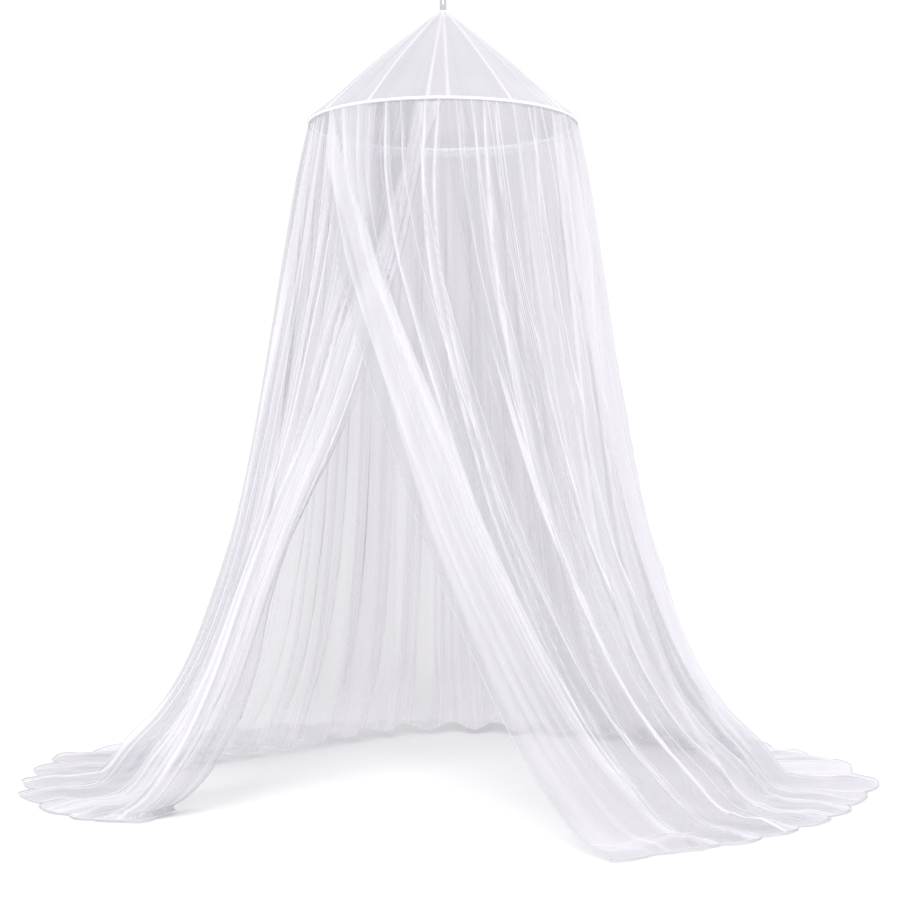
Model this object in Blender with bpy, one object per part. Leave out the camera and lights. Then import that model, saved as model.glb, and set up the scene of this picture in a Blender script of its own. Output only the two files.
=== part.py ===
"""Mosquito net canopy: a net curtain and a net roof hung from one hoop.

Metres, +Z up, front towards -Y. The origin is inside the top of the hanging loop, where a hook
carries the canopy, so every other part is below it. Heights in the tables are above the floor and
are lowered by DROP. The cloths are thin solids of CLOTH thickness, in the folds that they hang in.
"""
import math

import bmesh
import bpy
import numpy as np

# ---- driving dimensions ----------------------------------------------------------------------
DROP = 2.470            # floor to the inside top of the hanging loop
HOOP_RADIUS = 0.418     # axis of the canopy to the middle of the rod
HOOP_HEIGHT = 2.050     # floor to the middle of the rod
ROD_RADIUS = 0.0030
CLOTH = 0.0020          # thickness of each net as a solid
SEAT = 0.0003           # gap between two pieces that touch

SLEEVE_BORE = 0.0034    # inside radius of the casing round the rod
SLEEVE_WALL = 0.0010
SLEEVE_DEPTH = 0.0080   # middle of the rod to the lower edge of the casing
SLEEVE_SLIT = 0.0005    # half of the slit between the casing's two leaves
SLEEVE_LEAF = 0.0016    # half of the casing's width at its lower edge
RING_STEPS = 56         # segments round the hoop and its casing

TAB_FOOT = 2.4100       # floor to the lower edge of the loop's tab
TAPE_WIDTH = 0.0080
TAPE_THICKNESS = 0.0030
SLOT_RADIUS = 0.0035    # half of the width between the loop's two strands
SLOT_LENGTH = 0.0420    # inside top of the loop to the tab's upper edge
TAB_HALF_WIDTH = 0.0105

ROOF_TOP_RADIUS = 0.0105
ROOF_BULGE = 0.0120     # how far the roof's slope stands out half way up
ROOF_RIM_RADIUS = 0.4240
ROOF_EDGE_DROP = 0.0004 # casing's top to the lower edge of the roof, outside it
ROOF_STEPS = 84         # columns round the roof
# angle of each seam line of the roof from the front, to the right, in degrees
ROOF_SEAMS = (-55.0, -31.0, -6.0, 2.0, 28.0, 57.0, 84.0, 112.0, 139.0, 166.0, 195.0, 221.0,
              249.0, 276.0)
ROOF_ROWS = (0.00, 0.10, 0.26, 0.48, 0.74, 1.00)    # share of the way up, row by row
ROOF_FLAT_FROM = 0.25   # share of the way up where the facets have become flat

FOLD_STEPS = 4          # columns of the skirt from one fold's crest to the next
FOLD_ROUND = 0.30       # half depth of the deepest fold, as a share of its own width
LOBE_ROUND = 0.80       # how blunt a lobe of the hem is: 2 is a wave, 0 a square end
LOBE_DEPTH = 0.55       # how deep the notch between two lobes is against the fold there
WING = 0.006            # how far the two overlapping edges part, at the hoop
WING_OUT = 0.020        # further down, the front edge stands this far out of the bell
WING_IN = 0.030         # and the edge behind it this far in
GUARD_SOFTNESS = 0.06   # how softly the cloth comes to lie on the bell

# ---- the folds ---------------------------------------------------------------------------------
# One row for each fold's crest, from the front free edge, which starts at the hoop's left, round
# by the right and the back to the other free edge, which starts at the front and lies behind.
# hoop, hem: angles from the front, to the right, in degrees, at the hoop and at the hem
# reach: axis of the canopy to the hem, on the floor
# lay:  length of the crest that lies on the floor
# pull: 0 where the cloth hangs, 1 where it is drawn aside as a flat wing
# slack: 0, or 1 where the drawn cloth hangs in a slack double curve
# deep: depth of the fold against the usual one
FOLD_COLUMNS = ("hoop", "hem", "reach", "lay", "pull", "slack", "deep")
FOLDS = (
    (-52.0, 20.5, 1.190, 0.070, 1.00, 0.0, 0.50),
    (-34.0, 34.0, 1.185, 0.090, 0.90, 0.0, 1.00),
    (-19.0, 41.5, 1.205, 0.120, 0.75, 0.0, 0.80),
    (-3.0, 50.0, 1.215, 0.150, 0.60, 0.0, 1.20),
    (13.0, 58.5, 1.235, 0.180, 0.45, 0.0, 0.85),
    (27.0, 66.5, 1.255, 0.210, 0.30, 0.0, 1.25),
    (43.0, 75.0, 1.285, 0.240, 0.20, 0.0, 0.80),
    (62.0, 87.0, 1.345, 0.280, 0.10, 0.0, 1.20),
    (86.0, 102.5, 1.350, 0.305, 0.00, 0.0, 1.35),
    (101.0, 112.5, 1.320, 0.280, 0.00, 0.0, 0.85),
    (113.0, 121.0, 1.315, 0.280, 0.00, 0.0, 1.10),
    (124.0, 129.0, 1.305, 0.290, 0.00, 0.0, 0.80),
    (135.0, 138.5, 1.290, 0.300, 0.00, 0.0, 1.20),
    (147.0, 149.0, 1.270, 0.300, 0.00, 0.0, 0.90),
    (158.0, 159.0, 1.250, 0.290, 0.00, 0.0, 1.10),
    (168.0, 168.5, 1.235, 0.285, 0.00, 0.0, 1.30),
    (178.0, 178.0, 1.220, 0.270, 0.00, 0.0, 0.80),
    (189.0, 189.0, 1.210, 0.290, 0.00, 0.0, 1.10),
    (200.0, 199.5, 1.210, 0.350, 0.00, 0.0, 1.00),
    (211.0, 210.0, 1.230, 0.430, 0.00, 0.0, 1.35),
    (222.0, 220.5, 1.260, 0.490, 0.00, 0.0, 0.80),
    (232.0, 230.5, 1.280, 0.510, 0.00, 0.0, 1.25),
    (243.0, 241.0, 1.310, 0.500, 0.00, 0.0, 0.90),
    (255.0, 252.0, 1.360, 0.480, 0.00, 0.0, 1.40),
    (268.0, 262.0, 1.330, 0.370, 0.00, 0.0, 1.00),
    (282.0, 272.0, 1.305, 0.240, 0.05, 0.0, 1.30),
    (296.0, 282.0, 1.290, 0.225, 0.15, 0.0, 1.10),
    (310.0, 293.5, 1.235, 0.210, 0.55, 0.0, 1.20),
    (323.0, 300.5, 1.185, 0.150, 0.90, 0.1, 0.90),
    (335.0, 304.0, 1.130, 0.060, 0.60, 0.4, 0.30),
    (346.0, 307.5, 1.045, 0.030, 0.55, 0.45, 0.05),
    (360.0, 304.0, 0.915, 0.020, 0.00, 1.0, 0.05),
)
# Share of the way from hoop to floor contact that a fold has travelled outwards, at each height.
# height: share of the skirt's hanging height above the floor
PATH_COLUMNS = ("height", "hung", "pulled", "slack")
PATHS = (
    (1.00, 0.000, 0.000, 0.000),
    (0.92, 0.058, -0.008, 0.077),
    (0.79, 0.128, 0.035, 0.150),
    (0.69, 0.180, 0.110, 0.235),
    (0.60, 0.229, 0.190, 0.300),
    (0.50, 0.286, 0.285, 0.415),
    (0.40, 0.354, 0.385, 0.545),
    (0.30, 0.448, 0.505, 0.635),
    (0.20, 0.562, 0.635, 0.690),
    (0.12, 0.705, 0.755, 0.760),
    (0.06, 0.878, 0.865, 0.850),
    (0.02, 0.960, 0.945, 0.940),
    (0.00, 1.000, 1.000, 1.000),
)
# Each row of the skirt's cloth, from the hoop to the hem.
# height: share of the hanging height; lying: share of the length on the floor
# depth: half of a usual fold's depth; lift: how high a crest stands off the floor there
# lobed: 0 where the folds stand in waves, 1 where they have settled as the round lobes of the hem
ROW_COLUMNS = ("height", "lying", "depth", "lift", "lobed")
ROWS = (
    (1.00, 0.0, 0.0030, 0.000, 0.0),
    (0.90, 0.0, 0.0070, 0.000, 0.0),
    (0.78, 0.0, 0.0100, 0.000, 0.0),
    (0.65, 0.0, 0.0125, 0.000, 0.0),
    (0.52, 0.0, 0.0150, 0.000, 0.0),
    (0.40, 0.0, 0.0180, 0.000, 0.0),
    (0.29, 0.0, 0.0215, 0.000, 0.0),
    (0.19, 0.0, 0.0250, 0.000, 0.0),
    (0.11, 0.0, 0.0280, 0.004, 0.0),
    (0.05, 0.0, 0.0300, 0.010, 0.0),
    (0.00, 0.0, 0.0310, 0.018, 0.5),
    (0.00, 0.5, 0.0320, 0.022, 1.0),
    (0.00, 1.0, 0.0340, 0.006, 1.0),
)

# (name, base colour, roughness, metallic)
FINISHES = {
    "net": ((0.86, 0.86, 0.88, 1.0), 0.85, 0.0),
    "roof_net": ((0.84, 0.84, 0.87, 1.0), 0.85, 0.0),
    "casing": ((0.93, 0.93, 0.94, 1.0), 0.80, 0.0),
    "rod": ((0.90, 0.90, 0.90, 1.0), 0.45, 0.0),
    "tape": ((0.52, 0.52, 0.53, 1.0), 0.90, 0.0),
}


# ---- helpers -----------------------------------------------------------------------------------
def clear_scene():
    """Remove every object that the scene holds."""
    for thing in list(bpy.data.objects):
        bpy.data.objects.remove(thing, do_unlink=True)


def finish(name):
    """Return the Principled material of one finish."""
    colour, roughness, metallic = FINISHES[name]
    material = bpy.data.materials.new(name)
    material.use_nodes = True
    shader = material.node_tree.nodes["Principled BSDF"]
    shader.inputs["Base Color"].default_value = colour
    shader.inputs["Roughness"].default_value = roughness
    shader.inputs["Metallic"].default_value = metallic
    return material


def add_object(name, points, faces, material):
    """Link a mesh object made of the points and faces, with its faces pointing out."""
    mesh = bpy.data.meshes.new(name)
    mesh.from_pydata([tuple(point) for point in points], [], faces)
    mesh.materials.append(finish(material))
    mesh.shade_smooth()
    thing = bpy.data.objects.new(name, mesh)
    bpy.context.scene.collection.objects.link(thing)
    return thing


def close_outward(thing):
    """Turn every face of a closed mesh to point out."""
    work = bmesh.new()
    work.from_mesh(thing.data)
    bmesh.ops.recalc_face_normals(work, faces=work.faces)
    work.to_mesh(thing.data)
    work.free()


def thicken(thing, thickness, offset):
    """Give a one-layer cloth its thickness: offset 0 is half each way, -1 all inward."""
    solid = thing.modifiers.new("thickness", "SOLIDIFY")
    solid.thickness = thickness
    solid.offset = offset
    solid.use_even_offset = False


def grid_faces(rows, columns, closed):
    """Return the quads of a grid of points, row by row; closed joins the last column to the first."""
    last = columns if closed else columns - 1
    faces = []
    for row in range(rows - 1):
        for column in range(last):
            after = (column + 1) % columns
            faces.append((row * columns + column, (row + 1) * columns + column,
                          (row + 1) * columns + after, row * columns + after))
    return faces


def column_of(table, columns, name):
    """Return one named column of a table as an array."""
    place = columns.index(name)
    return np.array([row[place] for row in table])


def smooth_curve(at, knots, values):
    """Read a curve through the values at rising knots, as cubic pieces that never overshoot."""
    step = np.diff(knots)
    slope = np.diff(values) / step
    inner = np.where(slope[:-1] * slope[1:] > 0.0,
                     2.0 * slope[:-1] * slope[1:] / np.where(slope[:-1] + slope[1:] == 0.0, 1.0,
                                                             slope[:-1] + slope[1:]), 0.0)
    tangent = np.concatenate((slope[:1], inner, slope[-1:]))
    cell = np.clip(np.searchsorted(knots, at, side="right") - 1, 0, len(step) - 1)
    t = (at - knots[cell]) / step[cell]
    return ((2 * t**3 - 3 * t**2 + 1) * values[cell] + (t**3 - 2 * t**2 + t) * step[cell] * tangent[cell]
            + (3 * t**2 - 2 * t**3) * values[cell + 1] + (t**3 - t**2) * step[cell] * tangent[cell + 1])


def ease(value, low, high):
    """Return 0 below low, 1 above high and a smooth step between."""
    t = np.clip((value - low) / (high - low), 0.0, 1.0)
    return t * t * (3.0 - 2.0 * t)


# ---- the skirt ---------------------------------------------------------------------------------
def fold_value(name, u):
    """Return a column of FOLDS at the fold places u, where a whole number is a crest."""
    return smooth_curve(u, np.arange(len(FOLDS), dtype=float), column_of(FOLDS, FOLD_COLUMNS, name))


def path_share(name, height):
    """Return how far out a kind of fold has travelled at a share of the height."""
    heights = column_of(PATHS, PATH_COLUMNS, "height")[::-1]
    return smooth_curve(height, heights, column_of(PATHS, PATH_COLUMNS, name)[::-1])


def crest_points(u, height, lying):
    """Return x and y of the crest line of each fold place u at each row, as rows by columns.

    A crest leaves the hoop, travels to the point where it meets the floor by its own mix of the
    three paths, and then lies out to the hem: straight on, but squarer to the hem at the last
    folds, where the hem turns back.
    In front the cloth can't cut across the bell that the hoop and the floor give it, so there y is
    pushed out to that bell, and the free edge that lies behind is kept inside it for as far as the
    two edges overlap.
    """
    angle = np.radians(fold_value("hoop", u))
    last = len(FOLDS) - 1.0
    front = 1.0 - ease(u, 3.0, 6.0)
    behind = ease(u, last - 6.5, last - 4.5)
    start_radius = HOOP_RADIUS + SLEEVE_BORE + WING * (front - behind)
    start = np.array([np.sin(angle), -np.cos(angle)]) * start_radius
    hem_angle = np.radians(fold_value("hem", u))
    hem = np.array([np.sin(hem_angle), -np.cos(hem_angle)]) * fold_value("reach", u)
    along = (hem - start) / np.linalg.norm(hem - start, axis=0)
    edge = np.gradient(hem, u, axis=1)
    square = np.array([edge[1], -edge[0]]) / np.linalg.norm(edge, axis=0)
    turned = along + square * (ease(u, last - 4.0, last - 2.0) + ease(u, last - 1.0, last))
    lying_way = turned / np.linalg.norm(turned, axis=0) * fold_value("lay", u)
    foot = hem - lying_way
    pull, slack = fold_value("pull", u), fold_value("slack", u)
    hung = path_share("hung", height)
    share = (hung * (1.0 - pull - slack) + path_share("pulled", height) * pull
             + path_share("slack", height) * slack)
    x = start[0] + (foot[0] - start[0]) * share
    y = start[1] + (foot[1] - start[1]) * share

    foot_radius = np.hypot(foot[0], foot[1])
    part = ease(1.0 - height, 0.0, 0.15)
    bell = start_radius + (foot_radius - start_radius) * hung + WING_OUT * front * part
    reach = np.hypot(x, y)
    soft = GUARD_SOFTNESS * height * (1.0 - height)
    outside = 0.5 * (reach + bell + np.sqrt((reach - bell) ** 2 + soft**2))
    inside = start_radius + (foot_radius - start_radius) * hung - WING_IN * part
    hidden = behind * ease(height, 0.42, 0.58)
    radius = outside * (1.0 - hidden) + inside * hidden
    pushed = -np.sqrt(np.maximum(radius**2 - x**2, 1e-6))
    guard = (1.0 - ease(u, 3.5, 6.5) + ease(u, last - 5.5, last - 3.5)) * ease(height, 0.0, 0.12)
    y = y + (pushed - y) * guard
    return x + lying_way[0] * lying, y + lying_way[1] * lying


def make_skirt():
    """Make the net curtain: one cloth, gathered at the hoop, lying in scallops on the floor."""
    columns = (len(FOLDS) - 1) * FOLD_STEPS + 1
    u = np.linspace(0.0, len(FOLDS) - 1.0, columns)[None, :]
    height = column_of(ROWS, ROW_COLUMNS, "height")[:, None]
    lying = column_of(ROWS, ROW_COLUMNS, "lying")[:, None]
    depth = column_of(ROWS, ROW_COLUMNS, "depth")[:, None] * fold_value("deep", u)
    lift = column_of(ROWS, ROW_COLUMNS, "lift")[:, None] * fold_value("deep", u)
    x, y = crest_points(u[0], height, lying)

    along_x, along_y = np.gradient(x, axis=1), np.gradient(y, axis=1)
    size = np.hypot(along_x, along_y)
    out_x, out_y = along_y / size, -along_x / size
    most = size * FOLD_STEPS * FOLD_ROUND
    depth = depth * most / np.hypot(depth, most)
    wave = np.cos(2.0 * math.pi * u)
    notch = 1.0 - np.abs(np.cos(math.pi * u)) ** LOBE_ROUND
    lobed = column_of(ROWS, ROW_COLUMNS, "lobed")[:, None]
    inward = depth * ((1.0 - wave) * (1.0 - lobed) + 2.0 * LOBE_DEPTH * notch * lobed)
    top = HOOP_HEIGHT - SLEEVE_DEPTH - 2.0 * SEAT - DROP
    x = x - out_x * inward
    y = y - out_y * inward
    z = -DROP + CLOTH / 2 + (top + DROP - CLOTH / 2) * height + lift * (1.0 + wave) / 2
    points = np.stack((x, y, np.broadcast_to(z, x.shape)), axis=-1).reshape(-1, 3)
    skirt = add_object("skirt", points, grid_faces(len(ROWS), columns, False), "net")
    thicken(skirt, CLOTH, 0.0)
    return skirt


# ---- the roof ----------------------------------------------------------------------------------
def facet_pull(angle):
    """Return the share of the radius that a flat facet between two seams keeps at each angle."""
    seams = np.array(ROOF_SEAMS + (ROOF_SEAMS[0] + 360.0,))
    turned = (angle - seams[0]) % 360.0 + seams[0]
    cell = np.clip(np.searchsorted(seams, turned, side="right") - 1, 0, len(seams) - 2)
    middle = (seams[cell] + seams[cell + 1]) / 2
    half = (seams[cell + 1] - seams[cell]) / 2
    return np.cos(np.radians(half)) / np.cos(np.radians(turned - middle))


def roof_angles():
    """Return the roof's columns: each seam line, with even steps between two seams."""
    seams = ROOF_SEAMS + (ROOF_SEAMS[0] + 360.0,)
    angles = []
    for first, second in zip(seams[:-1], seams[1:]):
        count = max(2, round((second - first) / 360.0 * ROOF_STEPS))
        angles.extend(first + (second - first) * step / count for step in range(count))
    return np.array(angles)


def make_roof_cone():
    """Make the net roof: flat facets between seam lines, from the hoop up to a small flat top."""
    angle = roof_angles()[None, :]
    share = np.array(ROOF_ROWS)[:, None]
    foot = HOOP_HEIGHT + SLEEVE_BORE + SLEEVE_WALL - ROOF_EDGE_DROP - DROP
    top = TAB_FOOT - SEAT - DROP
    radius = ROOF_RIM_RADIUS + (ROOF_TOP_RADIUS - ROOF_RIM_RADIUS) * share
    radius = radius + ROOF_BULGE * np.sin(math.pi * share)
    flat = ease(share, 0.0, ROOF_FLAT_FROM)
    radius = radius * (1.0 + (facet_pull(angle) - 1.0) * flat)
    turn = np.radians(angle)
    x, y = radius * np.sin(turn), -radius * np.cos(turn)
    z = np.broadcast_to(foot + (top - foot) * share, x.shape)
    points = np.stack((x, y, z), axis=-1).reshape(-1, 3)
    rows, columns = x.shape
    faces = [tuple(reversed(face)) for face in grid_faces(rows, columns, True)]
    tip = len(points)
    points = np.vstack((points, (0.0, 0.0, top)))
    ring = (rows - 1) * columns
    faces.extend((ring + column, ring + (column + 1) % columns, tip) for column in range(columns))
    roof = add_object("roof_cone", points, faces, "roof_net")
    thicken(roof, CLOTH, -1.0)
    return roof


# ---- hoop and casing ---------------------------------------------------------------------------
def make_ring(name, section, material):
    """Turn a closed section, given as (outwards, upwards) from the rod's middle, round the axis."""
    turn = np.linspace(0.0, 2.0 * math.pi, RING_STEPS, endpoint=False)[:, None]
    outwards = np.array([point[0] for point in section])[None, :]
    upwards = np.array([point[1] for point in section])[None, :]
    radius = HOOP_RADIUS + outwards
    x, y = radius * np.sin(turn), -radius * np.cos(turn)
    z = np.broadcast_to(HOOP_HEIGHT - DROP + upwards, x.shape)
    points = np.stack((x, y, z), axis=-1).reshape(-1, 3)
    count = len(section)
    faces = []
    for step in range(RING_STEPS):
        after = (step + 1) % RING_STEPS
        for corner in range(count):
            beside = (corner + 1) % count
            faces.append((step * count + corner, step * count + beside,
                          after * count + beside, after * count + corner))
    ring = add_object(name, points, faces, material)
    close_outward(ring)
    return ring


def arc(radius, first, last, steps):
    """Return points on a circle round the rod's middle, from the first to the last angle."""
    angles = np.radians(np.linspace(first, last, steps))
    return [(radius * math.cos(angle), radius * math.sin(angle)) for angle in angles]


def make_hoop():
    """Make the stiff round rod that spreads the net."""
    return make_ring("hoop", arc(ROD_RADIUS, 0.0, 315.0, 8), "rod")


def make_hoop_sleeve():
    """Make the casing: a strip round the rod whose two leaves hang close together below it."""
    outer = arc(SLEEVE_BORE + SLEEVE_WALL, -50.0, 230.0, 9)
    inner = arc(SLEEVE_BORE, 245.0, -65.0, 7)
    section = (outer + [(-SLEEVE_LEAF, -SLEEVE_DEPTH), (-SLEEVE_SLIT, -SLEEVE_DEPTH)]
               + inner + [(SLEEVE_SLIT, -SLEEVE_DEPTH), (SLEEVE_LEAF, -SLEEVE_DEPTH)])
    return make_ring("hoop_sleeve", section, "casing")


# ---- hanging loop ------------------------------------------------------------------------------
def make_hanging_loop():
    """Make the tape loop: two strands from a stitched tab, closed over where the hook goes."""
    arc_steps, side_steps = 8, 2
    over = np.radians(np.linspace(0.0, 180.0, arc_steps + 1))
    under = np.radians(np.linspace(180.0, 360.0, arc_steps + 1))
    tab_height = -SLOT_LENGTH + SLOT_RADIUS - (TAB_FOOT - DROP)
    outer_radius = SLOT_RADIUS + TAPE_WIDTH
    inner, outer = [], []
    for turn in over:
        inner.append((SLOT_RADIUS * math.cos(turn), SLOT_RADIUS * math.sin(turn) - SLOT_RADIUS))
        outer.append((outer_radius * math.cos(turn), outer_radius * math.sin(turn) - SLOT_RADIUS))
    straight = SLOT_LENGTH - 2.0 * SLOT_RADIUS
    slot_foot = -SLOT_RADIUS - straight
    for step in range(1, side_steps):
        level = -SLOT_RADIUS - straight * step / side_steps
        width = outer_radius + (TAB_HALF_WIDTH - outer_radius) * step / side_steps
        inner.append((-SLOT_RADIUS, level))
        outer.append((-width, level))
    for turn in under:
        across = max(-1.0, min(1.0, math.sqrt(2.0) * math.cos(turn)))
        down = max(-1.0, min(0.0, math.sqrt(2.0) * math.sin(turn)))
        inner.append((SLOT_RADIUS * math.cos(turn), SLOT_RADIUS * math.sin(turn) + slot_foot))
        outer.append((TAB_HALF_WIDTH * across, slot_foot + tab_height * down))
    for step in range(side_steps - 1, 0, -1):
        level = -SLOT_RADIUS - straight * step / side_steps
        width = outer_radius + (TAB_HALF_WIDTH - outer_radius) * step / side_steps
        inner.append((SLOT_RADIUS, level))
        outer.append((width, level))
    count = len(inner)
    half = TAPE_THICKNESS / 2
    points = []
    for outline, side in ((outer, -half), (inner, -half), (inner, half), (outer, half)):
        points.extend((x, side, z) for x, z in outline)
    faces = []
    for ring in range(4):
        other = (ring + 1) % 4
        for corner in range(count):
            beside = (corner + 1) % count
            faces.append((ring * count + corner, ring * count + beside,
                          other * count + beside, other * count + corner))
    loop = add_object("hanging_loop", points, faces, "tape")
    close_outward(loop)
    return loop


def main():
    """Build the canopy."""
    clear_scene()
    make_skirt()
    make_roof_cone()
    make_hoop()
    make_hoop_sleeve()
    make_hanging_loop()


main()
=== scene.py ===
# %% [markdown]
# # A net canopy that hangs from one hoop
#
# The canopy is one net curtain, gathered on a round hoop, and a net roof above the hoop. It hangs
# from a tape loop, its hem lies on the floor, and its two free edges cross in front and part below.
# The CAD model gives the main folds as thin solids. This lesson dresses it: each cloth is worked
# out again as one fine layer on the same folds, with the small pleats, the rolled hem, the seams
# and a sheer net material.
#
# Sizes are in metres and +Z is up. The origin is inside the top of the hanging loop, so every
# other part is below it, and the floor is at z = -DROP.

import math

import bpy
import numpy as np
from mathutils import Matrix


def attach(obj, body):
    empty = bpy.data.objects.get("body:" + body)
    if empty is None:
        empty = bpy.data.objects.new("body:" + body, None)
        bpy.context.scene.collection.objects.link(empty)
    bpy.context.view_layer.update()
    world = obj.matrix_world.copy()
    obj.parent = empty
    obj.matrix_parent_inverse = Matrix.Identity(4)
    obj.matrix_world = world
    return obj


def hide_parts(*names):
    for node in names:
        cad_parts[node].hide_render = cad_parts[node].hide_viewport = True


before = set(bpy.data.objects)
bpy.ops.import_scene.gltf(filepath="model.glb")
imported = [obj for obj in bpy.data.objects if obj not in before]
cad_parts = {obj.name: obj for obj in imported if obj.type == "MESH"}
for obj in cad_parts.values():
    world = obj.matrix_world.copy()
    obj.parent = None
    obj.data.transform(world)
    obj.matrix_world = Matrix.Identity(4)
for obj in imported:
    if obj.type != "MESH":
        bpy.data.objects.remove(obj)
scene = bpy.context.scene
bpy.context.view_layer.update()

# %% [markdown]
# ## Sizes
#
# The sizes are those of the CAD model, and so are the folds and their paths. The tables say where
# each fold starts at the hoop, where it ends at the hem, and how it travels between the two. A
# drawn-aside edge takes a straighter way than cloth that hangs freely, so there are three kinds of
# path, and each fold mixes them. The sections also hold the depth of the small pleats, and the last
# table holds the pinched folds. The CAD model has neither.

# %% Sizes of the canopy
DROP = 2.470            # floor to the inside top of the hanging loop
HOOP_RADIUS = 0.418     # axis of the canopy to the middle of the rod
HOOP_HEIGHT = 2.050     # floor to the middle of the rod
ROD_RADIUS = 0.0030
SEAT = 0.0003           # gap between two pieces that touch
SLEEVE_BORE = 0.0034    # inside radius of the casing round the rod
SLEEVE_WALL = 0.0010
SLEEVE_DEPTH = 0.0080   # middle of the rod to the lower edge of the casing
TAB_FOOT = 2.4100       # floor to the lower edge of the loop's tab
TAPE_WIDTH = 0.0080
TAPE_THICKNESS = 0.0030
SLOT_RADIUS = 0.0035    # half of the width between the loop's two strands
SLOT_LENGTH = 0.0420    # inside top of the loop to the tab's upper edge
TAB_HALF_WIDTH = 0.0105
ROOF_TOP_RADIUS = 0.0105
ROOF_BULGE = 0.0120     # how far the roof's slope stands out half way up
ROOF_RIM_RADIUS = 0.4240
ROOF_EDGE_DROP = 0.0004     # casing's top to the lower edge of the roof, outside it
# angle of each seam line of the roof from the front, to the right, in degrees
ROOF_SEAMS = (-55.0, -31.0, -6.0, 2.0, 28.0, 57.0, 84.0, 112.0, 139.0, 166.0, 195.0, 221.0,
              249.0, 276.0)
ROOF_FLAT_FROM = 0.25   # share of the way up where the facets have become flat
WING = 0.006            # how far the front edge stands out at the hoop, and the one behind it in
WING_OUT = 0.020        # further down, the front edge stands this far out of the bell
WING_IN = 0.030         # and the edge behind it this far in
GUARD_SOFTNESS = 0.06   # how softly the cloth comes to lie on the bell
FOLD_ROUND = 0.30       # half depth of the deepest fold, as a share of its own width

# One row for each fold's crest, from the front free edge round by the right and the back to the
# other free edge, which lies behind.
# hoop, hem: angles from the front, to the right, in degrees, at the hoop and at the hem
# reach: axis to the hem on the floor; lay: length of the crest that lies on the floor
# pull: 1 where the cloth is drawn aside as a flat wing; slack: 1 where it hangs in a double curve
# deep: depth of the fold against the usual one
FOLD_COLUMNS = ("hoop", "hem", "reach", "lay", "pull", "slack", "deep")
FOLDS = (
    (-52.0, 20.5, 1.190, 0.070, 1.00, 0.0, 0.50),
    (-34.0, 34.0, 1.185, 0.090, 0.90, 0.0, 1.00),
    (-19.0, 41.5, 1.205, 0.120, 0.75, 0.0, 0.80),
    (-3.0, 50.0, 1.215, 0.150, 0.60, 0.0, 1.20),
    (13.0, 58.5, 1.235, 0.180, 0.45, 0.0, 0.85),
    (27.0, 66.5, 1.255, 0.210, 0.30, 0.0, 1.25),
    (43.0, 75.0, 1.285, 0.240, 0.20, 0.0, 0.80),
    (62.0, 87.0, 1.345, 0.280, 0.10, 0.0, 1.20),
    (86.0, 102.5, 1.350, 0.305, 0.00, 0.0, 1.35),
    (101.0, 112.5, 1.320, 0.280, 0.00, 0.0, 0.85),
    (113.0, 121.0, 1.315, 0.280, 0.00, 0.0, 1.10),
    (124.0, 129.0, 1.305, 0.290, 0.00, 0.0, 0.80),
    (135.0, 138.5, 1.290, 0.300, 0.00, 0.0, 1.20),
    (147.0, 149.0, 1.270, 0.300, 0.00, 0.0, 0.90),
    (158.0, 159.0, 1.250, 0.290, 0.00, 0.0, 1.10),
    (168.0, 168.5, 1.235, 0.285, 0.00, 0.0, 1.30),
    (178.0, 178.0, 1.220, 0.270, 0.00, 0.0, 0.80),
    (189.0, 189.0, 1.210, 0.290, 0.00, 0.0, 1.10),
    (200.0, 199.5, 1.210, 0.350, 0.00, 0.0, 1.00),
    (211.0, 210.0, 1.230, 0.430, 0.00, 0.0, 1.35),
    (222.0, 220.5, 1.260, 0.490, 0.00, 0.0, 0.80),
    (232.0, 230.5, 1.280, 0.510, 0.00, 0.0, 1.25),
    (243.0, 241.0, 1.310, 0.500, 0.00, 0.0, 0.90),
    (255.0, 252.0, 1.360, 0.480, 0.00, 0.0, 1.40),
    (268.0, 262.0, 1.330, 0.370, 0.00, 0.0, 1.00),
    (282.0, 272.0, 1.305, 0.240, 0.05, 0.0, 1.30),
    (296.0, 282.0, 1.290, 0.225, 0.15, 0.0, 1.10),
    (310.0, 293.5, 1.235, 0.210, 0.55, 0.0, 1.20),
    (323.0, 300.5, 1.185, 0.150, 0.90, 0.1, 0.90),
    (335.0, 304.0, 1.130, 0.060, 0.60, 0.4, 0.30),
    (346.0, 307.5, 1.045, 0.030, 0.55, 0.45, 0.05),
    (360.0, 304.0, 0.915, 0.020, 0.00, 1.0, 0.05),
)
# Share of the way from hoop to floor contact that a fold has travelled outwards, at each share of
# the hanging height.
PATH_COLUMNS = ("height", "hung", "pulled", "slack")
PATHS = (
    (1.00, 0.000, 0.000, 0.000),
    (0.92, 0.058, -0.008, 0.077),
    (0.79, 0.128, 0.035, 0.150),
    (0.69, 0.180, 0.110, 0.235),
    (0.60, 0.229, 0.190, 0.300),
    (0.50, 0.286, 0.285, 0.415),
    (0.40, 0.354, 0.385, 0.545),
    (0.30, 0.448, 0.505, 0.635),
    (0.20, 0.562, 0.635, 0.690),
    (0.12, 0.705, 0.755, 0.760),
    (0.06, 0.878, 0.865, 0.850),
    (0.02, 0.960, 0.945, 0.940),
    (0.00, 1.000, 1.000, 1.000),
)
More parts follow.
